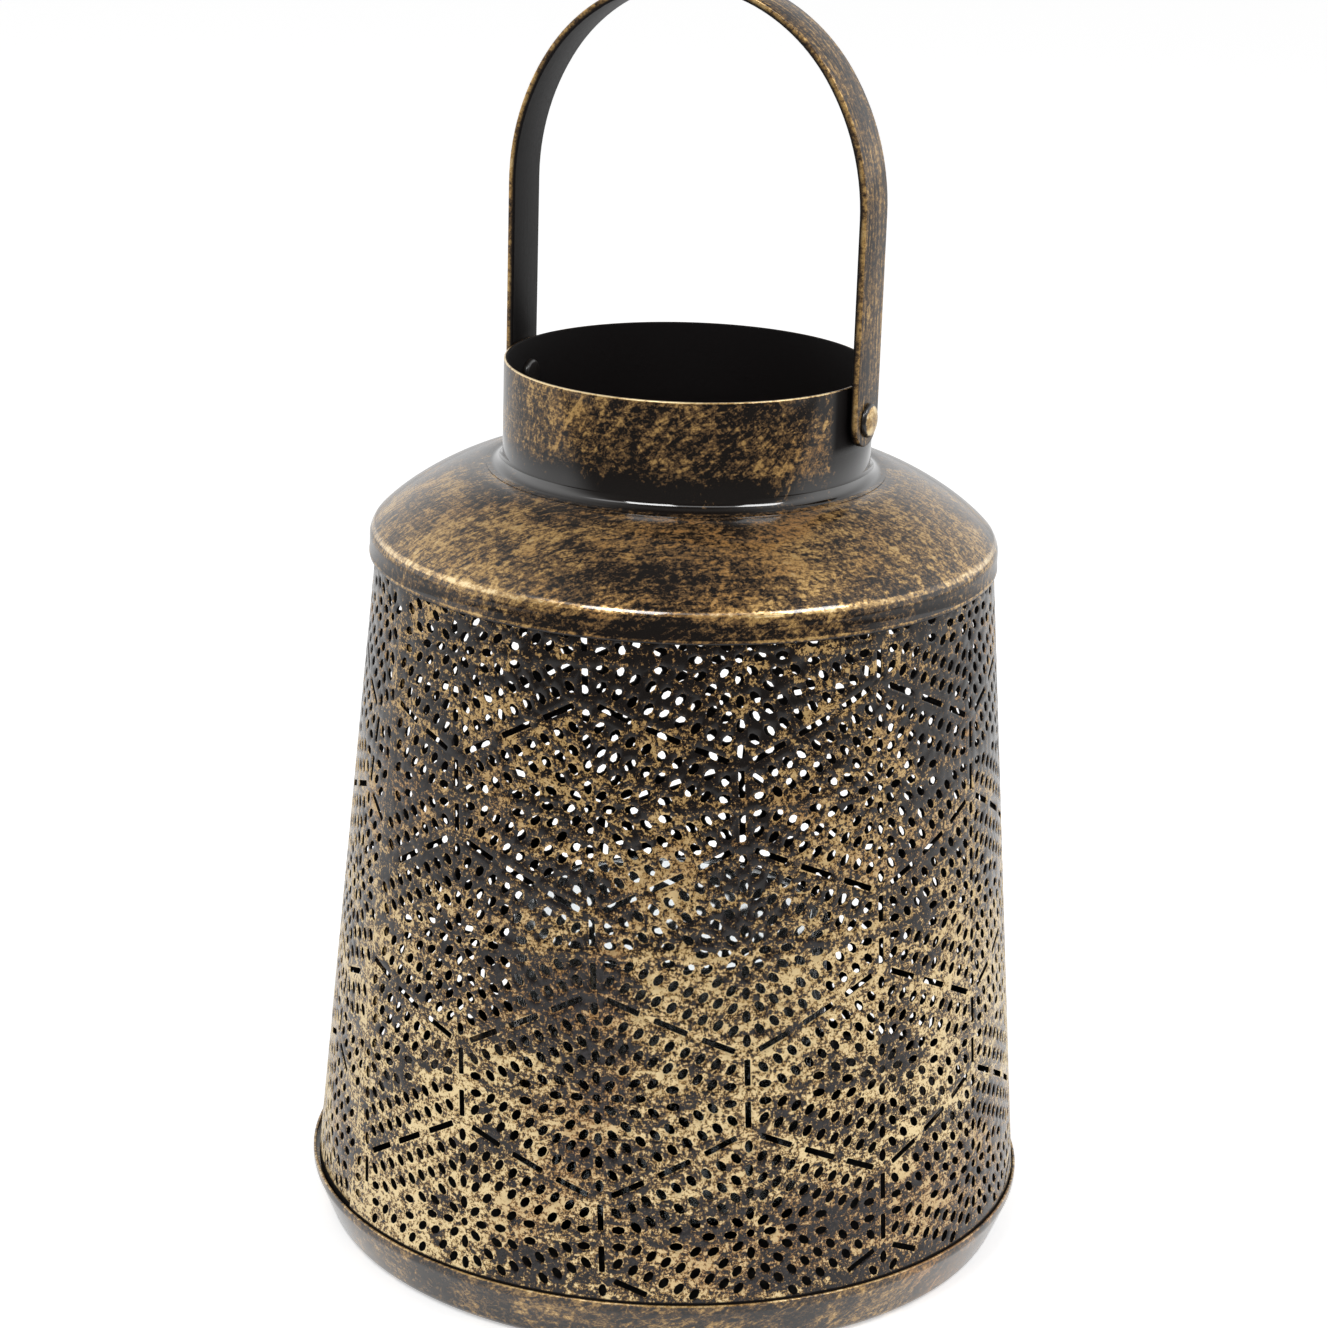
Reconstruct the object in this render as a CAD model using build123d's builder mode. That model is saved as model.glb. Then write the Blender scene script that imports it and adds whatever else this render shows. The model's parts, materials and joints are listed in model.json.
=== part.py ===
from build123d import *
from math import atan2, ceil, cos, degrees, hypot, pi, radians, sin, sqrt
import os

# Punched tin lantern. A tapered body of two perforated half sheets stands in a shallow pan,
# under a spun shoulder with a short open neck, a swinging strap handle and a loose glass cup.
# Millimetres, +Z up, origin at the middle of the pan's underside, handle pivots along X.
# An azimuth is counted in degrees from -Y towards +X.

# Base pan
pan_height = 16.0
pan_wall = 1.6
pan_foot_r = 94.4
lip_height = 2.2
lip_wall = 0.75
lip_gap = 0.1

# Body sheets
body_foot_r = 99.15
body_top_r = 83.28
body_height = 182.2
sheet = 0.8
flat_count = 36
seam_azimuth = -33.5
lap_width = 6.0
lap_gap = 0.05

# Punched pattern, as laid out on the flat sheet
cell_width = 77.8
cell_pitch = 38.05
cell_side = 20.4
pattern_azimuth = 62.3
pattern_drop = 122.9
slot_width = 1.6
slot_length = 9.2
side_slot_length = 7.2
side_slot_step = 11.4
lozenge_length = 30.0
lozenge_width = 11.6
lozenge_across = 17.0
lozenge_down = 9.5
edge_margin = 1.2
punch_reach = 3.2

# Shoulder
shoulder_wall = 0.8
skirt_overlap = 6.0
skirt_gap = 0.1
crown_gap = 0.2
shoulder_rise = 17.5
shoulder_bulge = 2.4
seat_margin = 1.2

# Neck collar
neck_r = 49.3
neck_wall = 0.9
neck_height = 28.5
flange_width = 4.4

# Strap handle
strap_width = 14.0
strap_thick = 2.0
strap_gap = 0.6
strap_end_flat = 0.4
pivot_drop = 9.5
leg_length = 52.9
arch_stretch = 5.3
crown_ease = 2.4
pivot_clearance = 0.05

# Rivets
shank_r = 2.5
head_r = 4.5
head_height = 1.8
head_gap = 0.15
tail_r = 3.8
tail_height = 1.4
tail_gap = 0.02

# Glass cup
cup_clearance = 4.4
cup_height = 84.0
cup_wall = 2.5
cup_base = 6.0

# Heights and radii that follow from the sizes above
seat_z = pan_height - lip_height
body_top_z = seat_z + body_height
skirt_z = body_top_z - skirt_overlap
lip_r = body_foot_r + lip_gap + lip_wall
slope_angle = atan2(body_foot_r - body_top_r, body_height)
apex_z = seat_z + body_height * body_foot_r / (body_foot_r - body_top_r)
front_azimuth = seam_azimuth + 90
rear_azimuth = front_azimuth + 180
crease_z = body_top_z + crown_gap
shoulder_top_z = crease_z + shoulder_rise + shoulder_wall
neck_bore_r = neck_r - neck_wall
flange_r = neck_r + flange_width
rim_z = shoulder_top_z + neck_height
pivot_z = rim_z - pivot_drop
spring_z = pivot_z + leg_length
strap_in = neck_r + strap_gap
strap_out = strap_in + strap_thick
arch_rise = strap_in + arch_stretch
crown_r = strap_in - crown_ease
haunch_r = (strap_in**2 + (arch_rise - crown_r) ** 2 - crown_r**2) / (2 * crown_ease)
haunch_turn = degrees(atan2(arch_rise - crown_r, haunch_r - strap_in))
tail_x = sqrt(neck_bore_r**2 - tail_r**2) - tail_gap
cup_r = neck_bore_r - cup_clearance


def body_r(z):
    """Outer radius of the body sheet at a height."""
    return body_foot_r + (body_top_r - body_foot_r) * (z - seat_z) / body_height


def radial_plane(azimuth):
    """Upright plane through the axis: X points outwards at the azimuth, Y points up."""
    turn = radians(azimuth)
    return Plane((0, 0, 0), x_dir=(sin(turn), -cos(turn), 0), z_dir=(-cos(turn), -sin(turn), 0))


def rolled_wall(depth):
    """Body wall of one sheet, rolled in flats, at a depth under the body's outer face."""
    first_corner = seam_azimuth - 90 + 180 / flat_count
    for inset, mode in ((depth, Mode.ADD), (depth + sheet, Mode.SUBTRACT)):
        with BuildSketch(Plane.XY.offset(seat_z)) as foot:
            RegularPolygon(body_foot_r - inset, flat_count, rotation=first_corner)
        with BuildSketch(Plane.XY.offset(body_top_z)) as top:
            RegularPolygon(body_top_r - inset, flat_count, rotation=first_corner)
        loft(sections=[foot.sketch.face(), top.sketch.face()], ruled=True, mode=mode)


def rolled(across, down):
    """Angle round the axis, and slant below the cone's tip, of a point of the flat pattern."""
    flat_reach = body_top_r / sin(slope_angle) + pattern_drop + down
    return atan2(across, flat_reach) / sin(slope_angle), hypot(across, flat_reach)


def is_open(across, down, turn, length):
    """Whether a hole keeps its margin from the seams, the pan's lip and the shoulder's skirt."""
    seam_margin = degrees((lap_width + edge_margin) / body_foot_r)
    for end in (-length / 2, length / 2):
        angle, slant = rolled(across + end * cos(radians(turn)), down + end * sin(radians(turn)))
        from_middle = degrees(angle) + pattern_azimuth - front_azimuth
        height = apex_z - slant * cos(slope_angle)
        if abs(from_middle) > 90 - seam_margin:
            return False
        if not pan_height + edge_margin < height < skirt_z - edge_margin:
            return False
    return True


def spread(cell_holes, length):
    """The open holes of all the cells that a panel's flat pattern has, from those of one cell."""
    rows_up = ceil(pattern_drop / cell_pitch)
    rows_down = ceil((body_height - pattern_drop) / cell_pitch)
    columns_out = ceil(pi * body_foot_r / cell_width)
    holes = []
    for row in range(-rows_up, rows_down + 1):
        for column in range(-columns_out, columns_out + 1):
            for across, down, turn in cell_holes:
                cell_across = (column + 0.5 * (row % 2)) * cell_width
                hole = (cell_across + across, row * cell_pitch + down, turn)
                if is_open(*hole, length):
                    holes.append(hole)
    return holes


def punch_plane(across, down, turn, panel_azimuth):
    """Plane on a rolled panel for a hole of the flat pattern: Z outwards, X along the hole."""
    angle, slant = rolled(across, down)
    azimuth = angle + radians(panel_azimuth + pattern_azimuth - front_azimuth)
    outwards = Vector(sin(azimuth), -cos(azimuth), 0)
    level = Vector(cos(azimuth), sin(azimuth), 0)
    down_sheet = outwards * sin(slope_angle) - Vector(0, 0, cos(slope_angle))
    place = outwards * (slant * sin(slope_angle)) + Vector(0, 0, apex_z - slant * cos(slope_angle))
    lean = radians(turn) + angle * sin(slope_angle)
    along = level * cos(lean) + down_sheet * sin(lean)
    normal = outwards * cos(slope_angle) + Vector(0, 0, sin(slope_angle))
    return Plane(place, x_dir=along, z_dir=normal)


def punch(panel_azimuth):
    """Cut the slots and the lozenges of all the cells on a panel."""
    for cell_slots, length in ((edge_slots, slot_length), (side_slots, side_slot_length)):
        with Locations(*[punch_plane(*slot, panel_azimuth) for slot in spread(cell_slots, length)]):
            Box(length, slot_width, 2 * punch_reach, mode=Mode.SUBTRACT)
    openings = spread(lozenges, lozenge_length)
    with Locations(*[punch_plane(*opening, panel_azimuth) for opening in openings]):
        add(lozenge_punch.part, mode=Mode.SUBTRACT)


# Holes of one hexagonal cell, as across, down and turn from the cell's middle. The sides and
# the two lower edges belong to the cell, and its neighbours bring the others. A slot marks each
# slanted edge, and a lozenge beside it stands for the rows of small lens holes along that edge.
cell_drop = cell_pitch - cell_side
edge_turn = degrees(atan2(cell_drop, cell_width / 2))
edge_slots = [
    (side * cell_width / 4, cell_side / 2 + cell_drop / 2, -side * edge_turn) for side in (-1, 1)
]
side_slots = [(-cell_width / 2, place * side_slot_step / 2, 90) for place in (-1, 1)]
lozenges = []
for side in (-1, 1):
    for low in (-1, 1):
        lozenges.append((side * lozenge_across, low * lozenge_down, -side * low * edge_turn))

# Punch for the lozenges
with BuildPart() as lozenge_punch:
    with BuildSketch():
        with BuildLine():
            Polyline(
                (-lozenge_length / 2, 0),
                (0, -lozenge_width / 2),
                (lozenge_length / 2, 0),
                (0, lozenge_width / 2),
                close=True,
            )
        make_face()
    extrude(amount=punch_reach, both=True)

# Base pan: flared dish whose upright lip holds the foot of the body on a turned seat
with BuildPart() as base_pan:
    with BuildSketch(Plane.XZ):
        with BuildLine():
            flare = atan2(lip_r - pan_foot_r, seat_z)
            wall_across = pan_wall / cos(flare)
            inner_foot_r = pan_foot_r + pan_wall * (lip_r - pan_foot_r) / seat_z - wall_across
            Polyline(
                (0, 0),
                (pan_foot_r, 0),
                (lip_r, seat_z),
                (lip_r, pan_height),
                (lip_r - lip_wall, pan_height),
                (lip_r - lip_wall, seat_z),
                (lip_r - wall_across, seat_z),
                (inner_foot_r, pan_wall),
                (0, pan_wall),
                close=True,
            )
        make_face()
    revolve(axis=Axis.Z)
base_pan.part.label = "base_pan"

# Front body sheet: half of the rolled wall, punched all over
with BuildPart() as body_panel_front:
    rolled_wall(0)
    split(bisect_by=radial_plane(seam_azimuth), keep=Keep.BOTTOM)
    punch(front_azimuth)
body_panel_front.part.label = "body_panel_front"

# Rear body sheet: the same, nested inside the front one and lapped under both of its edges
with BuildPart() as body_panel_rear:
    rolled_wall(sheet + lap_gap)
    split(bisect_by=radial_plane(seam_azimuth).offset(-lap_width), keep=Keep.TOP)
    punch(rear_azimuth)
body_panel_rear.part.label = "body_panel_rear"

# Shoulder: spun ring whose skirt drops over the top of the body, with a flat seat for the neck
with BuildPart() as shoulder:
    with BuildSketch(Plane.XZ):
        skirt_r = body_r(skirt_z) + skirt_gap
        seat_r = flange_r + seat_margin
        seat_under_z = shoulder_top_z - shoulder_wall
        dome_chord = hypot(skirt_r - seat_r, shoulder_rise)
        dome_r = (skirt_r + seat_r) / 2 + shoulder_bulge * shoulder_rise / dome_chord
        dome_z = (crease_z + seat_under_z) / 2 + shoulder_bulge * (skirt_r - seat_r) / dome_chord
        with BuildLine():
            Polyline(
                (skirt_r, skirt_z),
                (skirt_r, crease_z),
                (dome_r, dome_z),
                (seat_r, seat_under_z),
                (neck_bore_r, seat_under_z),
            )
            offset(amount=shoulder_wall, side=Side.RIGHT, kind=Kind.INTERSECTION)
        make_face()
    revolve(axis=Axis.Z)
shoulder.part.label = "shoulder"

# Neck collar: upright band with a turned-out foot on the shoulder's seat
with BuildPart() as neck_collar:
    with BuildSketch(Plane.XZ):
        with BuildLine():
            Polyline(
                (flange_r, shoulder_top_z),
                (flange_r, shoulder_top_z + neck_wall),
                (neck_r, shoulder_top_z + neck_wall),
                (neck_r, rim_z),
                (neck_bore_r, rim_z),
                (neck_bore_r, shoulder_top_z),
                close=True,
            )
        make_face()
    revolve(axis=Axis.Z)
    with Locations((0, 0, pivot_z)):
        Cylinder(shank_r + pivot_clearance, 3 * neck_r, rotation=(0, 90, 0), mode=Mode.SUBTRACT)
neck_collar.part.label = "neck_collar"

# Strap handle: flat bar bent to a tall arch, with round ends bored for the rivets
with BuildPart() as bail_strap:
    with BuildSketch(Plane.XZ):
        with BuildLine():
            for reach, thick in ((strap_in, 0), (strap_out, strap_thick)):
                rise = JernArc((reach, spring_z), (0, 1), haunch_r + thick, haunch_turn)
                crown = JernArc(rise @ 1, rise % 1, crown_r + thick, 180 - 2 * haunch_turn)
                JernArc(crown @ 1, crown % 1, haunch_r + thick, haunch_turn)
            strap_low_z = pivot_z - strap_width / 2
            for side in (-1, 1):
                Polyline(
                    (side * strap_in, spring_z),
                    (side * strap_in, strap_low_z),
                    (side * strap_out, strap_low_z),
                    (side * strap_out, spring_z),
                )
        make_face()
    extrude(amount=strap_width / 2, both=True)
    low_corners = bail_strap.edges().filter_by(Axis.X).group_by(Axis.Z)[0]
    fillet(low_corners, radius=(strap_width - strap_end_flat) / 2)
    with Locations((0, 0, pivot_z)):
        Cylinder(shank_r + pivot_clearance, 3 * strap_out, rotation=(0, 90, 0), mode=Mode.SUBTRACT)
bail_strap.part.label = "bail_strap"

# Rivets: low head outside the strap, shank through strap and neck, closed tail inside
with BuildPart() as bail_rivets:
    with BuildSketch(Plane.XZ):
        head_x = strap_out + head_gap
        with BuildLine():
            Polyline(
                (tail_x - tail_height, pivot_z),
                (tail_x - tail_height, pivot_z + tail_r),
                (tail_x, pivot_z + tail_r),
                (tail_x, pivot_z + shank_r),
                (head_x, pivot_z + shank_r),
                (head_x, pivot_z + head_r),
                (head_x + head_height, pivot_z + head_r),
                (head_x + head_height, pivot_z),
                close=True,
            )
        make_face()
    revolve(axis=Axis((0, 0, pivot_z), (1, 0, 0)))
    mirror(about=Plane.YZ)
bail_rivets.part.label = "bail_rivets"

# Glass cup: plain tumbler with a thick base, narrow enough to lift out through the neck
with BuildPart() as candle_cup:
    with BuildSketch(Plane.XY.offset(pan_wall)):
        Circle(cup_r)
    extrude(amount=cup_height)
    with BuildSketch(Plane.XY.offset(pan_wall + cup_base)):
        Circle(cup_r - cup_wall)
    extrude(amount=cup_height - cup_base, mode=Mode.SUBTRACT)
candle_cup.part.label = "candle_cup"

os.makedirs("parts", exist_ok=True)
pieces = [
    base_pan,
    body_panel_front,
    body_panel_rear,
    shoulder,
    neck_collar,
    bail_strap,
    bail_rivets,
    candle_cup,
]
for piece in pieces:
    export_step(piece.part, f"parts/{piece.part.label}.step")
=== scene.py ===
import json
from math import atan2, ceil, cos, hypot, pi, radians, sin, tau

import bmesh
import bpy
from bpy.props import FloatProperty, FloatVectorProperty, PointerProperty
from mathutils import Matrix, Vector


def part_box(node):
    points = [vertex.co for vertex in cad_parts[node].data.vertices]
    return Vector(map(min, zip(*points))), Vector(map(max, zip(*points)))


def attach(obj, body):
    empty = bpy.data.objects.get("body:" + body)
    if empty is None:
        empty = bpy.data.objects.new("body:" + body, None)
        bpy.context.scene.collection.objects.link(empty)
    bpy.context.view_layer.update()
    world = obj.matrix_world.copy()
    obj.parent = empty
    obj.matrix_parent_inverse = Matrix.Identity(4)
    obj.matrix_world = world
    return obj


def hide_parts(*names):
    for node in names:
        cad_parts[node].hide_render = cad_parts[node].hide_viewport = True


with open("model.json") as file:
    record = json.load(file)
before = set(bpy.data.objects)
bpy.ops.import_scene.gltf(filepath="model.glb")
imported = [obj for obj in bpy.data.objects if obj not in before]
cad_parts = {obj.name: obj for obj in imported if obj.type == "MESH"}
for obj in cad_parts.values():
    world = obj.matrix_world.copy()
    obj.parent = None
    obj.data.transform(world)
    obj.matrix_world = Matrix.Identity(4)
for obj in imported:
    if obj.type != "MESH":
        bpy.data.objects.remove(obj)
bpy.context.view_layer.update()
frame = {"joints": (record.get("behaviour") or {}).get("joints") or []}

bl_info = {
    "name": "Punched Tin Lantern",
    "version": (1, 0, 0),
    "blender": (4, 5, 0),
    "location": "View3D > Sidebar > Lantern",
    "description": "Builds the pieces, finishes and stage of a punched tin lantern",
    "category": "Add Mesh",
}

# Sizes that come from the frame, in metres
MM = 0.001
PAN_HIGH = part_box("base_pan")[1]
SHEET_LOW, SHEET_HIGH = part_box("body_panel_front")
SHOULDER_LOW, SHOULDER_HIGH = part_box("shoulder")
NECK_LOW, NECK_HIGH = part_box("neck_collar")
STRAP_LOW, STRAP_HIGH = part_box("bail_strap")
RIVET_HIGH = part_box("bail_rivets")[1]
CUP_LOW, CUP_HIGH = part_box("candle_cup")
PIVOT_Z = frame["joints"][0]["pos_m"][2]

# Mesh settings shared by the pieces
TURN_STEPS = 144
CUP_STEPS = 96
RIVET_STEPS = 40
LENS_STEPS = 8
STRAP_END_STEPS = 12
STRAP_EDGE_STEPS = 3
HAUNCH_STEPS = 14
CROWN_STEPS = 22
FLOOR_STEPS = 96
ROUND_STEP = 0.5 * MM
FEWEST_ROUND_STEPS = 3
MOST_ROUND_STEPS = 24
MERGE_GAP = 0.004 * MM
MIDDLE_GAP = 0.02 * MM
SHARP_ANGLE = radians(38)
UNDERSIDE_NORMAL = -0.3

# Shares of a size: the strap's round ends, the flat of a rivet's head and the dome's curve
STRAP_END_SHARE = 0.985
HEAD_FLAT_SHARE = 0.62
DOME_SHARE = 0.9

# Small roundings and steps of the turned outlines, in metres
LIP_ROUND = 0.28 * MM
LIP_FOOT_ROUND = 0.5 * MM
SKIRT_EDGE_ROUND = 0.2 * MM
BEAD_LOW_ROUND = 0.3 * MM
BEAD_HIGH_ROUND = 0.25 * MM
BEAD_STEP = 0.2 * MM
SEAT_ROUND = 2.0 * MM
RIM_ROUND = 0.35 * MM
TAIL_ROUND = 0.8 * MM
HEAD_SEAT_ROUND = 0.1 * MM
HEAD_SIDE_ROUND = 0.5 * MM
HEAD_CROWN_ROUND = 1.6 * MM
CUP_FOOT_ROUND = 3.0 * MM
CUP_RIM_ROUND = 1.2 * MM
CUP_FLOOR_ROUND = 4.0 * MM

# Slots along the edges of a cell, and the share of a slot's width that rounds its corners
SLANTED_SLOTS = 3
UPRIGHT_SLOTS = 2
SLOT_CORNER = 0.3

# Lens holes in a quarter of a cell. A row has its first place, step, number and turn; a single
# hole has its place and turn. Millimetres across and down from the cell's middle, and degrees.
LENS_ROWS = (
    ((34.7, 6.9), (-3.91, 1.74), 9, 50),
    ((29.7, 3.1), (-3.74, 1.68), 8, 49),
)
SINGLE_LENSES = (
    (14.5, 3.9, 40),
    (9.9, 4.1, 30),
    (7.3, 7.6, 44),
    (3.8, 10.1, 51),
    (3.4, 3.3, 41),
    (34.3, 2.3, 0),
    (19.5, 2.3, 0),
)
LEVEL_LENSES = (5.3, 11.0)
UPRIGHT_LENSES = (5.4, 11.1, 17.3, 23.8)

# Surface of the lacquer, and what rubbed gold and soot add to it
LACQUER_ROUGH = 0.24
GOLD_ROUGH = 0.12
SOOT_ROUGH = 0.4
GOLD_METAL = 0.6

# Stage: paints, levels, and each soft light's name, place with the camera at -Y, width, depth, watts
WHITE = (1, 1, 1, 1)
FLOOR_PAINT = (0.86, 0.86, 0.86, 1)
SOFTBOXES = (
    ("softbox_left", (-0.42, -0.9, 1.25), 0.62, 0.34, 8.5),
    ("softbox_right", (0.82, -0.56, 1.2), 0.55, 0.34, 7.0),
)
LIT_MIDDLE = Vector((0, 0, 0.12))
SEEN_GLOW = 0.5
GLOSS_GLOW = 0.25
ROOM_FILL = 0.55
STRIP_LEVEL = 2.5


def size(name, description, default):
    """Length that a user can change."""
    return FloatProperty(
        name=name, description=description, default=default, min=0.0, precision=5, unit="LENGTH"
    )


def angle(name, description, degrees):
    """Angle that a user can change."""
    return FloatProperty(
        name=name, description=description, default=radians(degrees), subtype="ANGLE"
    )


def colour(name, description, default):
    """Colour that a user can change."""
    return FloatVectorProperty(
        name=name, description=description, default=default, min=0.0, max=1.0, subtype="COLOR"
    )


class PanSizes(bpy.types.PropertyGroup):
    foot_r: size("Foot radius", "Radius of the pan's flat underside", 94.4 * MM)
    lip_r: size("Lip radius", "Outer radius of the upright lip", PAN_HIGH.x)
    height: size("Height", "Height of the lip's edge", PAN_HIGH.z)
    lip_height: size("Lip height", "Height of the upright lip", 2.2 * MM)
    lip_wall: size("Lip wall", "Thickness of the lip", 0.75 * MM)
    wall: size("Wall", "Thickness of the dish", 1.6 * MM)
    foot_round: size("Foot rounding", "How far the foot's corner is rounded", 3.0 * MM)


class SheetSizes(bpy.types.PropertyGroup):
    foot_r: size("Foot radius", "Outer radius of the body at its foot", 99.15 * MM)
    top_r: size("Top radius", "Outer radius of the body at its top", 83.28 * MM)
    foot_z: size("Foot height", "Height of the sheets' lower edge", SHEET_LOW.z)
    top_z: size("Top height", "Height of the sheets' upper edge", SHEET_HIGH.z)
    sheet: size("Sheet", "Thickness of the tin sheet", 0.8 * MM)
    lap_gap: size("Lap gap", "Gap between the sheets where they lap", 0.05 * MM)
    lap_width: size("Lap width", "How far the rear sheet runs under the front one", 6.0 * MM)
    seam_azimuth: angle("Seam", "Where the front sheet begins", -33.5)
    pattern_azimuth: angle("Pattern", "Where the pattern's middle column lies", 62.3)
    pattern_drop: size("Pattern drop", "Slant from the top edge to the first row", 122.9 * MM)
    cell_width: size("Cell width", "Width of a hexagonal cell", 77.8 * MM)
    cell_pitch: size("Cell pitch", "Distance between rows of cells", 38.05 * MM)
    cell_side: size("Cell side", "Length of a cell's upright sides", 20.4 * MM)
    slot_width: size("Slot width", "Width of the slots along the cells' edges", 1.6 * MM)
    slot_length: size("Slot length", "Length of a slot on a slanted edge", 9.2 * MM)
    slot_step: size("Slot step", "Distance between slots on a slanted edge", 13.3 * MM)
    side_slot_length: size("Side slot length", "Length of a slot on an upright side", 7.1 * MM)
    side_slot_step: size("Side slot step", "Distance between slots on an upright side", 11.4 * MM)
    hole_length: size("Hole length", "Length of a lens hole", 3.7 * MM)
    hole_width: size("Hole width", "Width of a lens hole", 2.35 * MM)
    worn_ring: size("Worn ring", "Width of the rubbed ring round a hole", 0.42 * MM)
    edge_sink: size("Edge sink", "How far the punch drew a hole's edge in", 0.17 * MM)
    margin: size("Margin", "Least metal left between a hole and a sheet's edge", 1.2 * MM)


class ShoulderSizes(bpy.types.PropertyGroup):
    skirt_r: size("Skirt radius", "Outer radius of the skirt", SHOULDER_HIGH.x)
    skirt_z: size("Skirt height", "Height of the skirt's lower edge", SHOULDER_LOW.z)
    ridge_z: size("Ridge height", "Height where the skirt turns into the dome", 196.9 * MM)
    seat_r: size("Seat radius", "Radius of the flat seat under the neck", 54.9 * MM)
    top_z: size("Seat height", "Height of the seat", SHOULDER_HIGH.z)
    bore_r: size("Bore radius", "Radius of the hole under the neck", 48.4 * MM)
    wall: size("Wall", "Thickness of the spun sheet", 0.8 * MM)
    bulge: size("Bulge", "Rise of the dome over a straight cone", 2.4 * MM)
    bead: size("Bead", "Swell of the skirt's rolled lower edge", 0.12 * MM)
    bead_height: size("Bead height", "Height of the rolled edge", 0.9 * MM)
    ridge_round: size("Ridge rounding", "How far the ridge is rounded", 2.0 * MM)


class NeckSizes(bpy.types.PropertyGroup):
    band_r: size("Band radius", "Outer radius of the neck", 49.3 * MM)
    wall: size("Wall", "Thickness of the neck", 0.9 * MM)
    foot_r: size("Foot radius", "Outer radius of the turned-out foot", NECK_HIGH.x)
    foot_z: size("Foot height", "Height of the foot's underside", NECK_LOW.z)
    rim_z: size("Rim height", "Height of the rim", NECK_HIGH.z)
    foot_round: size("Foot rounding", "How far the foot's inner corner is rounded", 3.2 * MM)
    foot_edge: size("Foot edge", "Thickness of the foot where it thins out", 0.15 * MM)


class HandleSizes(bpy.types.PropertyGroup):
    out_x: size("Reach", "Distance from the axis to the strap's outer face", STRAP_HIGH.x)
    width: size("Width", "Width of the strap", STRAP_HIGH.y - STRAP_LOW.y)
    thick: size("Thickness", "Thickness of the strap", 2.0 * MM)
    leg: size("Leg", "Length of the straight legs above the rivets", 52.9 * MM)
    stretch: size("Stretch", "Rise of the arch over a half circle", 5.3 * MM)
    ease: size("Ease", "How much smaller than a half circle the crown's radius is", 2.4 * MM)
    edge_round: size("Edge rounding", "How far the strap's edges are rounded", 0.45 * MM)


class RivetSizes(bpy.types.PropertyGroup):
    head_x: size("Head", "Distance from the axis to the rivet's outer end", RIVET_HIGH.x)
    head_r: size("Head radius", "Radius of the head", 4.5 * MM)
    head_height: size("Head height", "Height of the head", 1.8 * MM)
    dome_height: size("Dome height", "How much of the head's height is domed", 1.0 * MM)
    shank_r: size("Shank radius", "Radius of the shank", 2.5 * MM)
    tail_x: size("Tail", "Distance from the axis to the tail's seat", 48.23 * MM)
    tail_r: size("Tail radius", "Radius of the closed tail", 3.8 * MM)
    tail_height: size("Tail height", "Height of the closed tail", 1.4 * MM)


class CupSizes(bpy.types.PropertyGroup):
    radius: size("Radius", "Outer radius of the cup", CUP_HIGH.x)
    wall: size("Wall", "Thickness of the glass", 2.5 * MM)
    base: size("Base", "Thickness of the cup's base", 6.0 * MM)
    foot_z: size("Foot height", "Height of the cup's underside", CUP_LOW.z)
    rim_z: size("Rim height", "Height of the cup's rim", CUP_HIGH.z)


class FinishColours(bpy.types.PropertyGroup):
    lacquer: colour("Lacquer", "Dark lacquer over the tin", (0.007, 0.005, 0.004))
    charcoal: colour("Charcoal", "Greyer lacquer in bare patches", (0.027, 0.024, 0.026))
    sand: colour("Sand", "Palest rubbed gold", (0.82, 0.65, 0.36))
    ochre: colour("Ochre", "Deeper rubbed gold", (0.46, 0.28, 0.095))
    sienna: colour("Sienna", "Reddish rubbed gold", (0.36, 0.175, 0.050))
    umber: colour("Umber", "Brown of thinly rubbed gold", (0.105, 0.060, 0.026))
    # The soot tone also paints shade under the strap and a shadow line under the shoulder's rolled edge.
    soot: colour("Soot", "Inside of the tin", (0.004, 0.003, 0.003))
    glass: colour("Glass", "Tint of the cup", (0.68, 0.71, 0.72))


class StageSettings(bpy.types.PropertyGroup):
    azimuth: angle("Azimuth", "Camera's turn round the lantern", 26.0)
    pitch: angle("Pitch", "Camera's downward tilt", 17.71)
    roll: angle("Roll", "Camera's roll", 1.75)
    side: FloatProperty(
        name="Side", description="Camera's shift to the right", default=-4.3 * MM, unit="LENGTH"
    )
    reach: size("Reach", "Camera's level distance from the axis", 871.1 * MM)
    height: size("Height", "Camera's height", 436.2 * MM)
    lens: FloatProperty(
        name="Lens", description="Focal length for that sensor", default=90.62, unit="CAMERA"
    )
    sensor: FloatProperty(name="Sensor", description="Width of the frame", default=36.0, unit="CAMERA")
    floor_r: size("Floor radius", "Radius of the floor", 9.0)
    dim: FloatProperty(name="Dim", description="Level of the room before the lantern", default=0.12)


class LanternSettings(bpy.types.PropertyGroup):
    pan: PointerProperty(type=PanSizes)
    sheets: PointerProperty(type=SheetSizes)
    shoulder: PointerProperty(type=ShoulderSizes)
    neck: PointerProperty(type=NeckSizes)
    handle: PointerProperty(type=HandleSizes)
    rivets: PointerProperty(type=RivetSizes)
    cup: PointerProperty(type=CupSizes)
    colours: PointerProperty(type=FinishColours)
    stage: PointerProperty(type=StageSettings)


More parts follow.
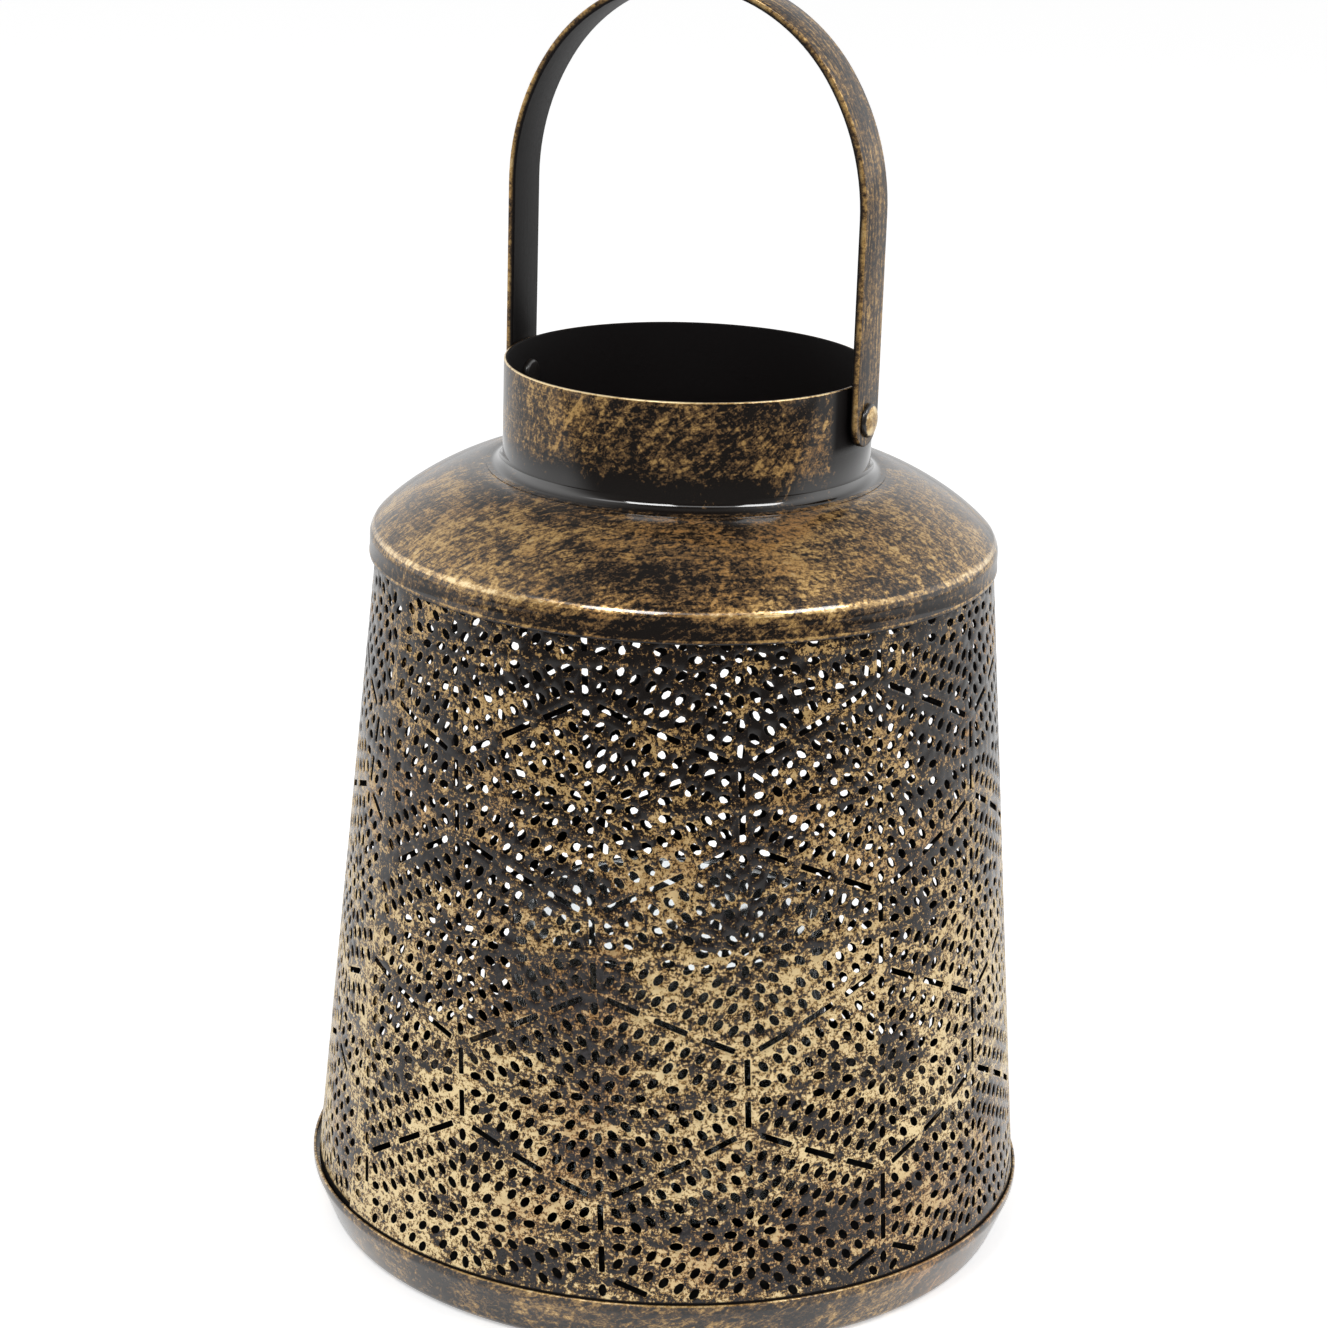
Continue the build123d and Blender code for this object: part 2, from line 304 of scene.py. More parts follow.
class Wire:
    """One output socket of a shader tree: arithmetic adds Math nodes, node() adds any other."""

    def __init__(self, tree, socket=None):
        self.tree = tree
        self.socket = socket

    def node(self, kind, settings=None, sockets=None, output=0):
        """Add a node, with its settings first and then the values or links of its sockets."""
        made = self.tree.nodes.new(kind)
        for name, value in (settings or {}).items():
            setattr(made, name, value)
        for name, value in (sockets or {}).items():
            if isinstance(value, Wire):
                self.tree.links.new(value.socket, made.inputs[name])
            else:
                made.inputs[name].default_value = value
        return Wire(self.tree, made.outputs[output] if made.outputs else None)

    def math(self, operation, first, second=0.0):
        return self.node("ShaderNodeMath", {"operation": operation}, {0: first, 1: second})

    def __add__(self, other):
        return self.math("ADD", self, other)

    def __sub__(self, other):
        return self.math("SUBTRACT", self, other)

    def __rsub__(self, other):
        return self.math("SUBTRACT", other, self)

    def __mul__(self, other):
        return self.math("MULTIPLY", self, other)

    def __pow__(self, other):
        return self.math("POWER", self, other)

    def __abs__(self):
        return self.math("ABSOLUTE", self)

    __radd__ = __add__
    __rmul__ = __mul__

    def rise(self, low, high):
        """0 below low, 1 above high, with a smooth step between."""
        return self.node(
            "ShaderNodeMapRange",
            {"interpolation_type": "SMOOTHSTEP"},
            {"Value": self, "From Min": low, "From Max": high},
        )

    def fall(self, low, high):
        """1 below low, 0 above high."""
        return 1 - self.rise(low, high)

    def most(self, other):
        return self.math("MAXIMUM", self, other)

    def tint(self, low, high):
        """Mix of two colours, by this factor."""
        return self.node(
            "ShaderNodeMix", {"data_type": "RGBA"}, {0: self, 6: shade(low), 7: shade(high)}, 2
        )

    def attribute(self, name):
        """Number that the points of a piece carry under this name."""
        return self.node("ShaderNodeAttribute", {"attribute_name": name}, output="Fac")

    def noise(self, scale, detail=2.0, roughness=0.5, distortion=0.0):
        """Cloud noise at this position."""
        sockets = {"Vector": self, "Scale": scale, "Detail": detail, "Roughness": roughness}
        return self.node("ShaderNodeTexNoise", None, sockets | {"Distortion": distortion})


def shade(value):
    """Colour with an alpha, from a property's three channels; a wire stays as it is."""
    return value if isinstance(value, Wire) else (*value, 1.0)


class Place:
    """Object coordinates of a finish: the position, its parts, and the radius round the axis."""

    def __init__(self, start, output="Object"):
        self.position = start.node("ShaderNodeTexCoord", output=output)
        split = {"Vector": self.position}
        self.x, self.y, self.z = (
            start.node("ShaderNodeSeparateXYZ", None, split, output) for output in range(3)
        )
        self.radius = (self.x * self.x + self.y * self.y) ** 0.5

    def stretched(self, across, along):
        """Position drawn out round the axis: across the grain a step counts more than along it."""
        sockets = {0: self.x * along, 1: self.y * along, 2: (self.z - self.radius) * across}
        return self.position.node("ShaderNodeCombineXYZ", None, sockets)

    def stroked(self, rise, turn, length):
        """Position drawn out along straight strokes: rise from level, turn round the axis."""
        sockets = {
            "Vector": self.position,
            "Rotation": (0, -radians(rise), radians(turn)),
            "Scale": (length, 1, 1),
        }
        return self.position.node("ShaderNodeMapping", {"vector_type": "TEXTURE"}, sockets)


def new_finish(name):
    """Empty material, with a wire that starts its nodes."""
    material = bpy.data.materials.new(name)
    material.use_nodes = True
    material.node_tree.nodes.clear()
    return material, Wire(material.node_tree)


def close_finish(material, start, surface, relief, depth):
    """Principled surface with the given sockets and a relief of that depth, on the output."""
    bump = {"Height": relief, "Distance": depth, "Strength": 1.0}
    surface = surface | {"Normal": start.node("ShaderNodeBump", None, bump)}
    shader = start.node("ShaderNodeBsdfPrincipled", None, surface)
    start.node("ShaderNodeOutputMaterial", None, {"Surface": shader})
    return material


def gilded(place, mottle, ground, tones, low, high, pale):
    """Colour of rubbed gold over a ground, from bare through umber and ochre to sand."""
    step = (high - low) / 3
    warm = place.position.noise(16.0, 3.0, 0.6, 0.6).rise(0.50, 0.66)
    leaf = warm.tint(tones.ochre, tones.sienna)
    umber = mottle.rise(low, low + step).tint(ground, tones.umber)
    ochre = mottle.rise(low + step * 0.8, low + step * 2).tint(umber, leaf)
    return (mottle.rise(low + step * 1.7, high) * pale * (1 - warm * 0.4)).tint(ochre, tones.sand)


def punched_tin_finish(tones, sizes):
    """Body sheets: gold rubbed over dark lacquer, in fine specks with bare patches between."""
    material, start = new_finish("punched_tin_patina")
    place = Place(start)
    worn = start.attribute("worn")
    inside = start.attribute("inside")
    off_seam = abs(place.x * cos(sizes.seam_azimuth) + place.y * sin(sizes.seam_azimuth))
    seam = off_seam.fall(0.2 * MM, 0.7 * MM)
    height = place.z.rise(50 * MM, 180 * MM)
    cloud = place.position.noise(17.0, 2.0, 0.5)
    smear = place.stretched(2.2, 1.0).noise(42.0, 4.0, 0.65, 0.8)
    fleck = place.position.noise(380.0, 6.0, 0.8, 0.4)
    speck = place.position.noise(1100.0, 3.0, 0.7)
    scratch = place.stretched(30.0, 1.0).noise(55.0, 3.0, 0.6)
    hair = abs(place.position.noise(90.0, 2.0, 0.5, 1.6) - 0.5).fall(0.003, 0.012)
    crack = abs(place.position.noise(150.0, 3.0, 0.6, 1.0) - 0.5).fall(0.006, 0.03)
    bare = (smear + cloud * 0.6 + height * 0.08).rise(0.68, 0.98)
    mottle = fleck * 1.5 + speck + scratch * 0.3 - bare * 0.24 - height * 0.09
    mottle = mottle + worn * 0.10 + hair * 0.08 - crack * 0.12 + seam * 0.15
    gold = mottle.rise(1.27, 1.39)
    grey = bare * speck.rise(0.3, 0.65) * (1 - height * 0.9)
    ground = grey.tint(tones.lacquer, tones.charcoal)
    face = gilded(place, mottle, ground, tones, 1.17, 1.44, 1 - height * 0.75)
    joint = place.z.fall(PAN_HIGH.z + 0.35 * MM, PAN_HIGH.z + 0.75 * MM)
    soot = inside.rise(0.02, 0.2).most(joint)
    surface = {
        "Base Color": soot.tint(face, tones.soot),
        "Metallic": gold * GOLD_METAL * (1 - soot),
        "Roughness": LACQUER_ROUGH + gold * GOLD_ROUGH + soot * SOOT_ROUGH,
        "Specular IOR Level": 0.15,
        "Coat Weight": 0.45 * (1 - soot),
        "Coat Roughness": 0.14,
    }
    relief = gold * 0.6 + fleck * 0.4 + scratch * 0.3
    return close_finish(material, start, surface, relief, 0.06 * MM)


def spun_tin_finish(tones, name, sizes, rub):
    """Dark lacquer with gold rubbed on in short strokes, and faint turning lines.

    The piece's own rub changes the mottle and says how dull, polished and pale it is where.
    """
    material, start = new_finish(name)
    place = Place(start)
    patch = place.position.noise(26.0, 4.0, 0.65, 1.2)
    stroke = place.stroked(28.0, 26.0, 3.5).noise(800.0, 3.0, 0.7, 0.6)
    cross = place.stroked(-40.0, 40.0, 3.0).noise(700.0, 3.0, 0.7, 0.6)
    speck = place.position.noise(1100.0, 3.0, 0.7)
    sweep = place.stretched(8.0, 1.0).noise(40.0, 4.0, 0.65, 0.4)
    streak = place.stretched(40.0, 1.0).noise(45.0, 3.0, 0.6)
    hair = abs(place.position.noise(60.0, 2.0, 0.5, 1.2) - 0.5).fall(0.002, 0.009)
    leaf = place.stroked(62.0, 26.0, 4.0).noise(170.0, 2.0, 0.5, 1.0).rise(0.60, 0.68)
    mottle = patch * 1.1 + stroke + cross * 0.6 + speck * 0.7 + sweep * 0.3 + streak * 0.3
    mottle, dull, polish, pale = rub(place, sizes, mottle + hair * 0.08 + leaf * 0.16)
    gold = mottle.rise(2.14, 2.32)
    face = gilded(place, mottle, tones.lacquer, tones, 1.88, 2.52, pale)
    # Where dull, the colour goes to the soot tone: real soot on inner faces, and painted shade under the
    # neck's strap and under the shoulder's rolled edge.
    surface = {
        "Base Color": dull.tint(face, tones.soot),
        "Metallic": gold * (1 - dull) * GOLD_METAL,
        "Roughness": LACQUER_ROUGH + gold * GOLD_ROUGH - polish * 0.14 + dull * SOOT_ROUGH,
        "Specular IOR Level": 0.1,
        "Coat Weight": (0.55 + polish * 0.45) * (1 - dull),
        "Coat Roughness": 0.07,
        "Coat IOR": 1.6,
    }
    relief = (gold * 0.5 + streak * 0.3 + speck * 0.3) * (1 - polish)
    return close_finish(material, start, surface, relief, 0.05 * MM)


def shoulder_rub(place, sizes, mottle):
    """Shoulder: rolled edge bright, skirt dark, underside sooty. The ridge gets paler, glossier worn
    gold where its highlight falls, partly a painted highlight, and the rolled edge's underside goes
    soot-black as a painted shadow line.
    """
    skirt = place.z.fall(sizes.ridge_z - 1.8 * MM, sizes.ridge_z - 1.0 * MM)
    # Ridge band: worn gold along the ridge, set where its highlight falls and made paler and glossier
    # there, partly a painted highlight.
    ridge = place.z.fall(sizes.ridge_z + 1.0 * MM, sizes.ridge_z + 1.6 * MM)
    ridge = ridge * place.z.rise(sizes.ridge_z - 0.2 * MM, sizes.ridge_z + 0.3 * MM)
    bead = place.z.fall(sizes.skirt_z + 1.0 * MM, sizes.skirt_z + 1.3 * MM)
    bead = bead * place.z.rise(sizes.skirt_z + 0.4 * MM, sizes.skirt_z + 0.7 * MM)
    high = place.z.rise(sizes.top_z - 4.0 * MM, sizes.top_z - 0.5 * MM)
    # Downward faces go soot-black: real soot under the dome, and a painted shadow line under the rolled
    # edge.
    under = place.position.attribute("inside").rise(0.3, 0.7)
    mottle = mottle + 0.05 + ridge * 0.2 + bead * 0.24 - skirt * 0.13 - high * 0.08
    return mottle, under, ridge * 0.7, 0.45 + ridge * 0.4


def neck_rub(place, sizes, mottle):
    """Neck: rim bright, foot black, inside sooty. The bands round each strap leg lose their gold as
    painted shade, the strap's shadow and dark reflection on the neck, and from the strap's lower end up
    they go soot-black as painted shade under the strap.
    """
    rim = place.z.rise(sizes.rim_z - 0.5 * MM, sizes.rim_z - 0.15 * MM)
    rim = rim * place.radius.rise(sizes.band_r - sizes.wall * 0.6, sizes.band_r - sizes.wall * 0.35)
    flange = place.radius.rise(sizes.band_r + 2.0 * MM, sizes.band_r + 3.2 * MM)
    foot = place.z.fall(sizes.foot_z + 4.0 * MM, sizes.foot_z + 11.0 * MM) * (1 - flange)
    # Painted shade: the bands round each strap leg lose their gold, standing in for the strap's shadow
    # and dark reflection on the neck.
    strip = abs(place.y).fall(10.5 * MM, 14.0 * MM) * (1 - flange)
    inner = place.radius.fall(sizes.band_r - sizes.wall * 0.7, sizes.band_r - sizes.wall * 0.4)
    # Painted shade under the strap: from about the strap's lower end up, these bands go soot-black
    # together with the sooty inner face.
    painted_strap_shade = strip * place.z.rise(sizes.rim_z - 18.0 * MM, sizes.rim_z - 15.0 * MM)
    inside = inner.most(painted_strap_shade) * (1 - rim)
    mottle = mottle - 0.05 + rim * 0.5 - foot * 0.3 - strip * 0.4 - flange * 0.03
    return mottle, inside, foot, 0.2 + rim * 0.7


def pan_rub(place, sizes, mottle):
    """Pan: polished, with gold along the lip's edge and in smears down the side."""
    edge = place.z.rise(sizes.height - 0.45 * MM, sizes.height - 0.15 * MM)
    inner = place.radius.fall(sizes.foot_r - 2.0 * MM, sizes.foot_r)
    inside = inner * place.z.rise(sizes.wall * 0.5, sizes.wall * 0.75)
    return mottle + edge * 0.24 - 0.03, inside, 0.6, 0.3 + edge * 0.5


def strap_finish(tones, sizes):
    """Strap: brown gold brushed along its length, dark satin on the inner face."""
    material, start = new_finish("strap_brushed_gold")
    place = Place(start)
    outside = start.attribute("outside").rise(0.2, 0.8)
    drawn = {0: place.x, 1: place.y * 16.0, 2: place.z}
    brush = start.node("ShaderNodeCombineXYZ", None, drawn).noise(70.0, 4.0, 0.7)
    cloud = place.position.noise(60.0, 4.0, 0.65, 0.6)
    grain = place.position.noise(800.0, 4.0, 0.75)
    edge = abs(place.y).rise(sizes.width / 2 - 0.8 * MM, sizes.width / 2 - 0.1 * MM)
    rub = brush * 0.8 + cloud * 0.4 + grain * 0.9 + edge * 0.12 - 0.02
    gold = rub.rise(1.12, 1.24) * outside
    face = gilded(place, rub, tones.lacquer, tones, 0.94, 1.40, 0.5)
    surface = {
        "Base Color": outside.tint(tones.soot, face),
        "Metallic": gold * GOLD_METAL,
        "Roughness": 0.36 + grain * 0.18,
        "Specular IOR Level": 0.15,
        "Coat Weight": outside * 0.4,
        "Coat Roughness": 0.16,
    }
    return close_finish(material, start, surface, brush * 0.5 + grain * 0.5, 0.05 * MM)


def rivet_finish(tones, sizes):
    """Rivets: dulled brass with a dark ring round the head."""
    material, start = new_finish("rivet_dull_brass")
    place = Place(start)
    lift = place.z - PIVOT_Z
    off_axis = (place.y * place.y + lift * lift) ** 0.5
    ring = off_axis.rise(sizes.head_r - 0.9 * MM, sizes.head_r - 0.35 * MM)
    tail = abs(place.x).fall(sizes.tail_x - 0.2 * MM, sizes.tail_x + 0.8 * MM)
    cloud = place.position.noise(320.0, 4.0, 0.65)
    grain = place.position.noise(1500.0, 3.0, 0.65)
    gold = (cloud * 0.6 + grain * 0.5 - ring * 0.3).rise(0.36, 0.56) * (1 - tail)
    leaf = cloud.rise(0.4, 0.7).tint(tones.ochre, tones.sand)
    surface = {
        "Base Color": gold.tint(tones.lacquer, leaf),
        "Metallic": gold * 0.8,
        "Roughness": 0.28 + grain * 0.2,
        "Coat Weight": 0.4,
        "Coat Roughness": 0.12,
    }
    return close_finish(material, start, surface, cloud * 0.6 + grain * 0.4, 0.08 * MM)


def glass_finish(tones, sizes):
    """Cup: thick clear glass with a faint haze below the rim."""
    material, start = new_finish("cup_clear_glass")
    place = Place(start)
    film = place.position.noise(40.0, 4.0, 0.6, 0.4)
    bump = start.node("ShaderNodeBump", None, {"Height": film, "Distance": 0.02 * MM})
    clear = {
        "Base Color": shade(tones.glass),
        "Roughness": 0.02 + film.rise(0.45, 0.75) * 0.10,
        "Transmission Weight": 1.0,
        "IOR": 1.3,
        "Normal": bump,
    }
    glass = start.node("ShaderNodeBsdfPrincipled", None, clear)
    haze = start.node("ShaderNodeBsdfDiffuse", None, {"Color": shade(tones.glass)})
    inner = place.radius.fall(sizes.radius - sizes.wall * 0.9, sizes.radius - sizes.wall * 0.5)
    band = inner * place.z.rise(sizes.rim_z - 45 * MM, sizes.rim_z - 10 * MM) * (0.03 + film * 0.14)
    mixed = start.node("ShaderNodeMixShader", None, {0: band, 1: glass, 2: haze})
    start.node("ShaderNodeOutputMaterial", None, {"Surface": mixed})
    return material


def whole(shape):
    """All that a shape is made of."""
    return shape.verts[:] + shape.edges[:] + shape.faces[:]


def rounded(shape, geom, affect, offset, segments):
    """Round the given corners or edges."""
    bmesh.ops.bevel(
        shape, geom=geom, offset=offset, affect=affect, segments=segments, profile=0.5, material=-1
    )


def sealed(shape):
    """Merge a shape's doubles and point its faces outwards."""
    bmesh.ops.remove_doubles(shape, verts=shape.verts[:], dist=MERGE_GAP)
    bmesh.ops.recalc_face_normals(shape, faces=shape.faces[:])
    return shape


def turned(outline, steps=TURN_STEPS):
    """Closed outline of (radius, height, rounding) corners, rounded and turned round Z."""
    shape = bmesh.new()
    corners = [shape.verts.new((reach, 0, z)) for reach, z, _ in outline]
    shape.faces.new(corners)
    for corner, (_, _, rounding) in zip(corners, outline):
        if rounding:
            segments = min(MOST_ROUND_STEPS, ceil(rounding / ROUND_STEP))
            rounded(shape, [corner], "VERTICES", rounding, max(FEWEST_ROUND_STEPS, segments))
    bmesh.ops.delete(shape, geom=shape.faces[:], context="FACES_ONLY")
    on_axis = [edge for edge in shape.edges if all(vert.co.x < MERGE_GAP for vert in edge.verts)]
    bmesh.ops.delete(shape, geom=on_axis, context="EDGES")
    profile = shape.verts[:] + shape.edges[:]
    bmesh.ops.spin(
        shape, geom=profile, cent=(0, 0, 0), axis=(0, 0, 1), angle=tau, steps=steps, use_merge=True
    )
    return sealed(shape)


def mark_underside(shape):
    """Mark the points whose surface looks down, in the attribute inside: the dome's sooty underside, and
    the rolled edge's underside, where it gives a painted shadow line.
    """
    inside = shape.verts.layers.float.new("inside")
    shape.normal_update()
    for vert in shape.verts:
        vert[inside] = float(vert.normal.z < UNDERSIDE_NORMAL)


def add_object(context, name, shape, material):
    """Object in the scene from a bmesh, which is used up."""
    mesh = bpy.data.meshes.new(name)
    shape.to_mesh(mesh)
    shape.free()
    mesh.materials.append(material)
    made = bpy.data.objects.new(name, mesh)
    context.scene.collection.objects.link(made)
    return made


def add_piece(context, name, shape, material, body, slot, *nodes):
    """Smooth object that rides on a body and stands for its nodes of the frame."""
    piece = add_object(context, name, shape, material)
    piece.data.shade_smooth()
    piece.data.set_sharp_from_angle(angle=SHARP_ANGLE)
    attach(piece, body)
    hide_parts(*nodes)


def cell_lenses():
    """Lens holes of one cell, as across, down and turn from its middle: mirrored both ways."""
    quarter = [
        (across + step_across * place, down + step_down * place, turn)
        for (across, down), (step_across, step_down), count, turn in LENS_ROWS
        for place in range(count)
    ]
    quarter += SINGLE_LENSES
    lenses = [(0, 0, 0)]
    for right in (-1, 1):
        lenses += [(right * across, 0, 0) for across in LEVEL_LENSES]
        lenses += [(0, right * down, 90) for down in UPRIGHT_LENSES]
        for low in (-1, 1):
            lenses += [
                (right * across, low * down, right * low * turn) for across, down, turn in quarter
            ]
    return [(across * MM, down * MM, radians(turn)) for across, down, turn in lenses]


def cell_corners(sizes):
    """Corners of a hexagonal cell, in order round its middle."""
    half_side = sizes.cell_side / 2
    side_u = sizes.cell_width / 2
    tip_v = sizes.cell_pitch - half_side
    half = [(side_u, half_side), (0, tip_v), (-side_u, half_side)]
    other_half = [(-across, -down) for across, down in half]
    return [Vector((across, down, 0)) for across, down in half + other_half]


def edge_slots(sizes, corner, following):
    """Points of each half slot on one edge of a cell, with the worn ring round it."""
    count, step, length = SLANTED_SLOTS, sizes.slot_step, sizes.slot_length
    if abs(corner.x - following.x) < MERGE_GAP:
        count, step, length = UPRIGHT_SLOTS, sizes.side_slot_step, sizes.side_slot_length
    along = (following - corner).normalized()
    inwards = Vector((-along.y, along.x, 0))
    middle = (corner + following) / 2
    reach = along * (length / 2 + sizes.worn_ring)
    depth = inwards * (sizes.slot_width / 2 + sizes.worn_ring)
    cut = along * sizes.slot_width * SLOT_CORNER
    turn_in = inwards * sizes.slot_width * SLOT_CORNER
    ends = [-reach, -reach + depth - turn_in, -reach + depth + cut]
    ends += [reach + depth - cut, reach + depth - turn_in, reach]
    centres = [middle + along * step * (place - (count - 1) / 2) for place in range(count)]
    return [[centre + end for end in ends] for centre in centres]


def add_lens(cell, sizes, across, down, turn):
    """Outline of one lens hole with its worn ring; the hole in the middle is round."""
    wide_r = sizes.hole_width / 2 + sizes.worn_ring
    long_r = sizes.hole_length / 2 + sizes.worn_ring
    if across == 0 and down == 0:
        long_r = wide_r
    points = bmesh.ops.create_circle(cell, segments=LENS_STEPS, radius=1.0)["verts"]
    lens = Matrix.Translation((across, down, 0)) @ Matrix.Rotation(turn, 4, "Z")
    bmesh.ops.transform(cell, verts=points, matrix=lens @ Matrix.Diagonal((long_r, wide_r, 1, 1)))
    return points


def punched_cell(sizes):
    """Mesh of one flat cell: half slots round its edges, lens holes within, worn rings round all.

    The faces that the punch takes out carry material index 1 and stay in for now.
    """
    cell = bmesh.new()
    corners = cell_corners(sizes)
    outline = []
    slots = []
    for corner, following in zip(corners, corners[1:] + corners[:1]):
        outline.append(cell.verts.new(corner))
        for slot in edge_slots(sizes, corner, following):
            slots.append([cell.verts.new(point) for point in slot])
            outline += slots[-1]
    lenses = [add_lens(cell, sizes, *lens) for lens in cell_lenses()]
    for first, second in zip(outline, outline[1:] + outline[:1]):
        cell.edges.new((first, second))
    bmesh.ops.triangle_fill(cell, use_beauty=True, edges=cell.edges[:], normal=(0, 0, 1))
    punched = [cell.faces.new(loop) for loop in lenses + slots]
    bmesh.ops.recalc_face_normals(cell, faces=cell.faces[:])
    if cell.faces[0].normal.z < 0:
        bmesh.ops.reverse_faces(cell, faces=cell.faces[:])
    for face in punched:
        face.material_index = 1
    bmesh.ops.inset_region(cell, faces=punched, use_even_offset=True, thickness=sizes.worn_ring)
    for face in cell.faces:
        if face.material_index == 1 and face not in punched:
            face.material_index = 0
    mesh = bpy.data.meshes.new("punched_cell")
    cell.to_mesh(mesh)
    cell.free()
    return mesh


class PunchedSheet:
    """One half sheet of the body: laid out flat in cells, punched, trimmed and rolled."""

    def __init__(self, sizes, panel_azimuth, inset, overlap):
        self.sizes = sizes
        self.slope = atan2(sizes.foot_r - sizes.top_r, sizes.top_z - sizes.foot_z)
        self.top_slant = sizes.top_r / sin(self.slope)
        self.apex_z = sizes.top_z + self.top_slant * cos(self.slope)
        self.shift = sizes.pattern_azimuth - (sizes.seam_azimuth + pi / 2)
        self.azimuth = panel_azimuth + self.shift
        self.inset = inset
        self.overlap = overlap

    def rolled(self, across, down):
        """Angle from the pattern's middle and slant from the cone's tip, for a flat point."""
        reach = self.top_slant + self.sizes.pattern_drop + down
        return atan2(across, reach) / sin(self.slope), hypot(across, reach)

    def is_open(self, point):
        """Whether a flat point lies clear of the seams, the pan's lip and the top edge."""
        turn, slant = self.rolled(point.x, point.y)
        radius = slant * sin(self.slope)
        height = self.apex_z - slant * cos(self.slope)
        from_seam = (pi / 2 - abs(turn + self.shift)) * radius
        lip_z = PAN_HIGH.z + self.sizes.margin * 0.3
        return from_seam > self.sizes.margin and lip_z < height < self.sizes.top_z - self.sizes.margin

    def flat_cells(self):
        """All the cells that reach the sheet, merged into one flat mesh."""
        sizes = self.sizes
        flat = bmesh.new()
        cell = punched_cell(sizes)
        slant_height = hypot(sizes.foot_r - sizes.top_r, sizes.top_z - sizes.foot_z)
        rows_up = ceil(sizes.pattern_drop / sizes.cell_pitch) + 1
        rows_down = ceil((slant_height - sizes.pattern_drop) / sizes.cell_pitch) + 1
        columns_out = ceil(pi * sizes.foot_r / 2 / sizes.cell_width) + 2
        for row in range(-rows_up, rows_down + 1):
            for column in range(-columns_out, columns_out + 1):
                across = (column + 0.5 * (row % 2)) * sizes.cell_width
                known = len(flat.verts)
                flat.from_mesh(cell)
                flat.verts.ensure_lookup_table()
                move = (across, row * sizes.cell_pitch, 0)
                bmesh.ops.translate(flat, verts=flat.verts[known:], vec=move)
        bpy.data.meshes.remove(cell)
        bmesh.ops.remove_doubles(flat, verts=flat.verts[:], dist=MERGE_GAP)
        return flat

    def punch(self, flat):
        """Take out the holes that are open, mark and sink their edges, and close the others."""
        worn = flat.verts.layers.float.new("worn")
        halves = [
            edge
            for edge in flat.edges
            if len(edge.link_faces) == 2 and all(face.material_index for face in edge.link_faces)
        ]
        bmesh.ops.dissolve_edges(flat, edges=halves)
        holes = [face for face in flat.faces if face.material_index]
        punched = [face for face in holes if all(self.is_open(vert.co) for vert in face.verts)]
        for face in holes:
            face.material_index = 0
        for face in punched:
            for vert in face.verts:
                vert[worn] = 1.0
                vert.co.z = -self.sizes.edge_sink
        bmesh.ops.delete(flat, geom=punched, context="FACES")

    def cut(self, flat, place, outwards):
        """Cut the sheet at a plane and drop what lies outside it."""
        bmesh.ops.bisect_plane(
            flat,
            geom=whole(flat),
            dist=MERGE_GAP / 4,
            plane_co=place,
            plane_no=outwards,
            clear_outer=True,
        )

    def trim(self, flat):
        """Cut the flat sheet at its two seams, which run to the cone's tip."""
        tip = Vector((0, -(self.top_slant + self.sizes.pattern_drop), 0))
        for side in (-1, 1):
            turn = (side * pi / 2 - self.shift) * sin(self.slope)
            outwards = Vector((side * cos(turn), -side * sin(turn), 0))
            self.cut(flat, tip + outwards * self.overlap, outwards)

    def roll(self, flat):
        """Roll the flat sheet into its half cone and cut its lower and upper edges level."""
        for vert in flat.verts:
            turn, slant = self.rolled(vert.co.x, vert.co.y)
            azimuth = turn + self.azimuth
            proud = vert.co.z - self.inset
            radius = slant * sin(self.slope) + proud * cos(self.slope)
            height = self.apex_z - slant * cos(self.slope) + proud * sin(self.slope)
            vert.co = (radius * sin(azimuth), -radius * cos(azimuth), height)
        self.cut(flat, (0, 0, self.sizes.foot_z), (0, 0, -1))
        self.cut(flat, (0, 0, self.sizes.top_z), (0, 0, 1))

    def thicken(self, flat):
        """Give the sheet its thickness inwards, with the inner face marked."""
        for face in flat.faces:
            face.normal_update()
        middle = flat.faces[:][0]
        if middle.normal.dot(middle.calc_center_median() * Vector((1, 1, 0))) < 0:
            bmesh.ops.reverse_faces(flat, faces=flat.faces[:])
        inside = flat.verts.layers.float.new("inside")
        outer = set(flat.verts)
        bmesh.ops.solidify(flat, geom=flat.faces[:], thickness=self.sizes.sheet)
        for vert in flat.verts:
            if vert not in outer:
                vert[inside] = 1.0

    def trim_far(self, flat):
        """Drop the faces that lie well off the sheet, before the slower steps."""
        slack = self.sizes.cell_pitch
        low_z = self.sizes.foot_z - slack
        far = []
        for face in flat.faces:
            turn, slant = self.rolled(*face.calc_center_median().xy)
            height = self.apex_z - slant * cos(self.slope)
            radius = slant * sin(self.slope)
            if (abs(turn + self.shift) - pi / 2) * radius > slack / 2:
                far.append(face)
            elif not low_z < height < self.sizes.top_z + slack / 2:
                far.append(face)
        bmesh.ops.delete(flat, geom=far, context="FACES")

    def build(self):
        """Sheet with all its holes, ready for an object."""
        flat = self.flat_cells()
        self.trim_far(flat)
        self.punch(flat)
        self.trim(flat)
        self.roll(flat)
        self.thicken(flat)
        return flat


